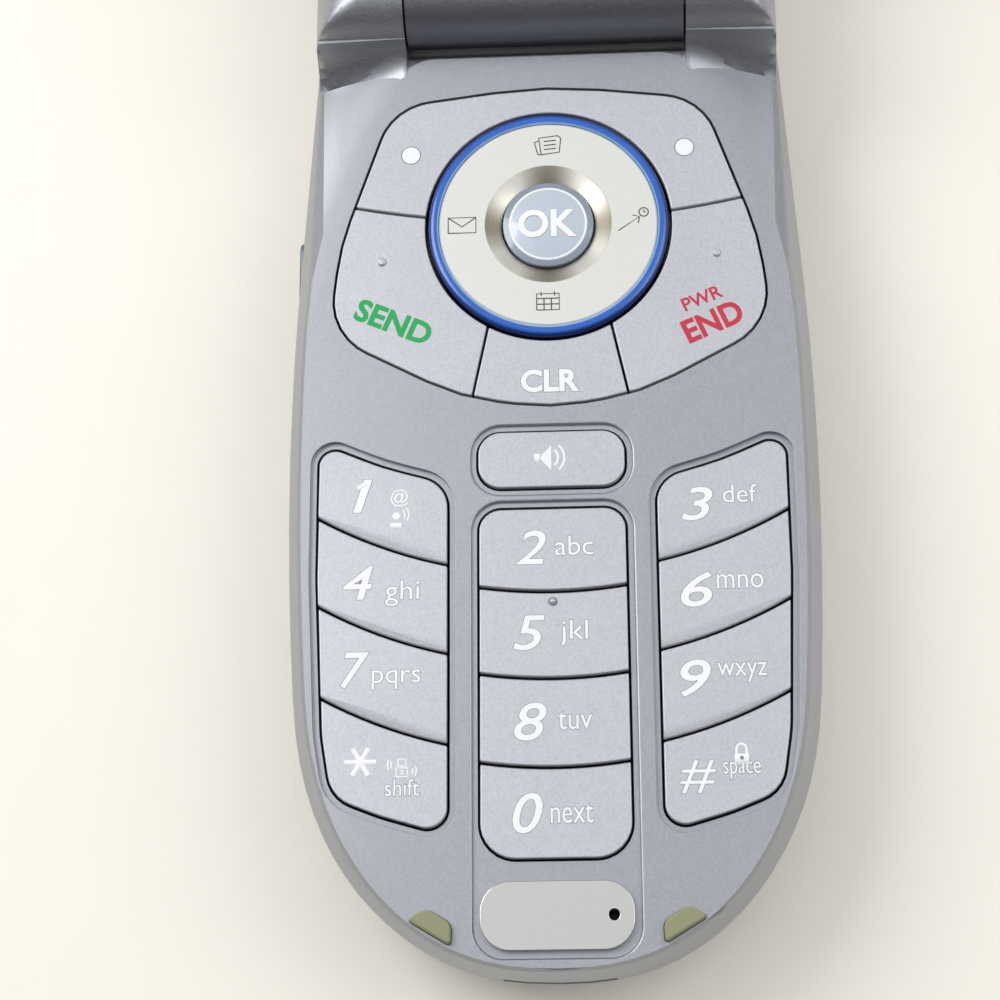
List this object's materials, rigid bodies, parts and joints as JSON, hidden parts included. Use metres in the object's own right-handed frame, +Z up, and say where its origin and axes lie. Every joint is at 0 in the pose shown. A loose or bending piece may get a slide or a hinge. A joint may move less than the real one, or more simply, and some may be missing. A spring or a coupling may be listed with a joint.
{
  "type": "flip phone",
  "caption": "Clamshell mobile phone lying open on its back: keypad half with navigation ring, raised two-screen lid on a cam hinge, side keys and removable battery.",
  "frame": {"origin": "middle of the back face the phone rests on, halfway between the rounded end and the hinge axis", "axes": "+X across the keys to the right, +Y along the body towards the hinge, +Z up out of the keypad"},
  "size_m": [0.0468, 0.1745, 0.0451],
  "materials": {
    "silver_paint": "matte metallic silver paint with fine flake",
    "dark_silver_paint": "matte dark silver paint",
    "key_paint": "matte light silver paint",
    "ring_blue": "glossy blue translucent plastic",
    "nav_metal": "satin anodised",
    "ok_clear": "clear domed plastic over silver",
    "chrome_plate": "polished",
    "khaki_rubber": "soft rubber",
    "black_rubber": "soft rubber",
    "steel": "turned and plated",
    "board": "solder-masked glass fibre",
    "dome_film": "polyester film",
    "mat_rubber": "translucent silicone",
    "dark_part": "moulded black",
    "copper": "copper foil on film",
    "window": "tinted clear acrylic, printed behind",
    "screw_black": "black oxide",
    "cam_white": "acetal"
  },
  "bodies": {
    "base": {"front_housing": "silver_paint", "rear_housing": "dark_silver_paint", "bumpers": "khaki_rubber", "nameplate": "chrome_plate", "housing_screws": "screw_black", "main_board": "board", "shield_cans": "steel", "dome_sheet": "dome_film", "keymat": "mat_rubber", "microphone": "dark_part", "loudspeaker": "dark_part", "vibration_motor": "steel", "antenna": "copper", "charge_connector": "steel", "headset_jack": "dark_part", "battery_contacts": "dark_part", "hinge_shaft": "steel", "hinge_bush": "cam_white", "hinge_flex": "copper"},
    "lid": {"lid_inner": "silver_paint", "lid_outer": "silver_paint", "main_window": "window", "main_display": "dark_part", "outer_window": "window", "outer_display": "dark_part", "earpiece": "dark_part", "lid_board": "board", "closing_magnet": "steel", "lid_screws": "screw_black", "screw_plugs": "black_rubber", "hinge_can": "steel", "hinge_cam": "cam_white", "hinge_spring": "steel"},
    "battery": {"battery_pack": "dark_silver_paint"},
    "latch": {"battery_latch": "black_rubber"},
    "volume": {"volume_key": "dark_silver_paint"},
    "cover": {"port_cover": "black_rubber"},
    "soft_key_plate": {"soft_keys": "key_paint"},
    "nav_tilt": {"nav_frame": "dark_part"},
    "nav_pad": {"nav_disc": "nav_metal", "nav_ring": "ring_blue"},
    "key_1_cap": {"key_1": "key_paint"},
    "key_2_cap": {"key_2": "key_paint"},
    "key_3_cap": {"key_3": "key_paint"},
    "key_4_cap": {"key_4": "key_paint"},
    "key_5_cap": {"key_5": "key_paint"},
    "key_6_cap": {"key_6": "key_paint"},
    "key_7_cap": {"key_7": "key_paint"},
    "key_8_cap": {"key_8": "key_paint"},
    "key_9_cap": {"key_9": "key_paint"},
    "key_star_cap": {"key_star": "key_paint"},
    "key_0_cap": {"key_0": "key_paint"},
    "key_hash_cap": {"key_hash": "key_paint"},
    "key_speaker_cap": {"key_speaker": "key_paint"},
    "key_clear_cap": {"key_clear": "key_paint"},
    "key_send_cap": {"key_send": "key_paint"},
    "key_end_cap": {"key_end": "key_paint"},
    "key_ok_cap": {"key_ok": "ok_clear"}
  },
  "joints": [
    {"name": "lid_hinge", "type": "hinge", "parent": "base", "child": "lid", "pos_m": [0, 0.04465, 0.0149], "axis": [1, 0, 0], "range_deg": [0, 160], "deforming": ["hinge_flex"]},
    {"name": "battery_slide", "type": "slide", "parent": "base", "child": "battery", "axis": [0, 0, -1], "range_m": [0, 0.012]},
    {"name": "latch_slide", "type": "slide", "parent": "base", "child": "latch", "axis": [0, 1, 0], "range_m": [0, 0.0015], "stiffness_N_per_m": 200, "springref_m": -0.001},
    {"name": "volume_rock", "type": "hinge", "parent": "base", "child": "volume", "pos_m": [-0.02095, 0.01565, 0.0083], "axis": [0, 0, 1], "range_deg": [-2.5, 2.5], "stiffness_Nm_per_rad": 0.02},
    {"name": "cover_hinge", "type": "hinge", "parent": "base", "child": "cover", "pos_m": [0.02107, 0.03205, 0.00845], "axis": [0, -1, 0], "range_deg": [0, 95], "stiffness_Nm_per_rad": 0.001, "springref_deg": -11.46},
    {"name": "soft_key_tip", "type": "hinge", "parent": "base", "child": "soft_key_plate", "pos_m": [0, 0.0301, 0.012], "axis": [0, 1, 0], "range_deg": [-1.2, 1.2], "stiffness_Nm_per_rad": 0.2},
    {"name": "nav_tip_y", "type": "hinge", "parent": "base", "child": "nav_tilt", "pos_m": [0, 0.0221, 0.0117], "axis": [1, 0, 0], "range_deg": [-1.5, 1.5], "stiffness_Nm_per_rad": 0.1},
    {"name": "nav_tip_x", "type": "hinge", "parent": "nav_tilt", "child": "nav_pad", "pos_m": [0, 0.0221, 0.0117], "axis": [0, 1, 0], "range_deg": [-1.5, 1.5], "stiffness_Nm_per_rad": 0.1},
    {"name": "key_1_press", "type": "slide", "parent": "base", "child": "key_1_cap", "axis": [0, 0, -1], "range_m": [0, 0.0004], "stiffness_N_per_m": 300, "springref_m": -0.001},
    {"name": "key_2_press", "type": "slide", "parent": "base", "child": "key_2_cap", "axis": [0, 0, -1], "range_m": [0, 0.0004], "stiffness_N_per_m": 300, "springref_m": -0.001},
    {"name": "key_3_press", "type": "slide", "parent": "base", "child": "key_3_cap", "axis": [0, 0, -1], "range_m": [0, 0.0004], "stiffness_N_per_m": 300, "springref_m": -0.001},
    {"name": "key_4_press", "type": "slide", "parent": "base", "child": "key_4_cap", "axis": [0, 0, -1], "range_m": [0, 0.0004], "stiffness_N_per_m": 300, "springref_m": -0.001},
    {"name": "key_5_press", "type": "slide", "parent": "base", "child": "key_5_cap", "axis": [0, 0, -1], "range_m": [0, 0.0004], "stiffness_N_per_m": 300, "springref_m": -0.001},
    {"name": "key_6_press", "type": "slide", "parent": "base", "child": "key_6_cap", "axis": [0, 0, -1], "range_m": [0, 0.0004], "stiffness_N_per_m": 300, "springref_m": -0.001},
    {"name": "key_7_press", "type": "slide", "parent": "base", "child": "key_7_cap", "axis": [0, 0, -1], "range_m": [0, 0.0004], "stiffness_N_per_m": 300, "springref_m": -0.001},
    {"name": "key_8_press", "type": "slide", "parent": "base", "child": "key_8_cap", "axis": [0, 0, -1], "range_m": [0, 0.0004], "stiffness_N_per_m": 300, "springref_m": -0.001},
    {"name": "key_9_press", "type": "slide", "parent": "base", "child": "key_9_cap", "axis": [0, 0, -1], "range_m": [0, 0.0004], "stiffness_N_per_m": 300, "springref_m": -0.001},
    {"name": "key_star_press", "type": "slide", "parent": "base", "child": "key_star_cap", "axis": [0, 0, -1], "range_m": [0, 0.0004], "stiffness_N_per_m": 300, "springref_m": -0.001},
    {"name": "key_0_press", "type": "slide", "parent": "base", "child": "key_0_cap", "axis": [0, 0, -1], "range_m": [0, 0.0004], "stiffness_N_per_m": 300, "springref_m": -0.001},
    {"name": "key_hash_press", "type": "slide", "parent": "base", "child": "key_hash_cap", "axis": [0, 0, -1], "range_m": [0, 0.0004], "stiffness_N_per_m": 300, "springref_m": -0.001},
    {"name": "key_speaker_press", "type": "slide", "parent": "base", "child": "key_speaker_cap", "axis": [0, 0, -1], "range_m": [0, 0.0004], "stiffness_N_per_m": 300, "springref_m": -0.001},
    {"name": "key_clear_press", "type": "slide", "parent": "base", "child": "key_clear_cap", "axis": [0, 0, -1], "range_m": [0, 0.0004], "stiffness_N_per_m": 300, "springref_m": -0.001},
    {"name": "key_send_press", "type": "slide", "parent": "base", "child": "key_send_cap", "axis": [0, 0, -1], "range_m": [0, 0.0004], "stiffness_N_per_m": 300, "springref_m": -0.001},
    {"name": "key_end_press", "type": "slide", "parent": "base", "child": "key_end_cap", "axis": [0, 0, -1], "range_m": [0, 0.0004], "stiffness_N_per_m": 300, "springref_m": -0.001},
    {"name": "key_ok_press", "type": "slide", "parent": "base", "child": "key_ok_cap", "axis": [0, 0, -1], "range_m": [0, 0.0004], "stiffness_N_per_m": 300, "springref_m": -0.001}
  ]
}
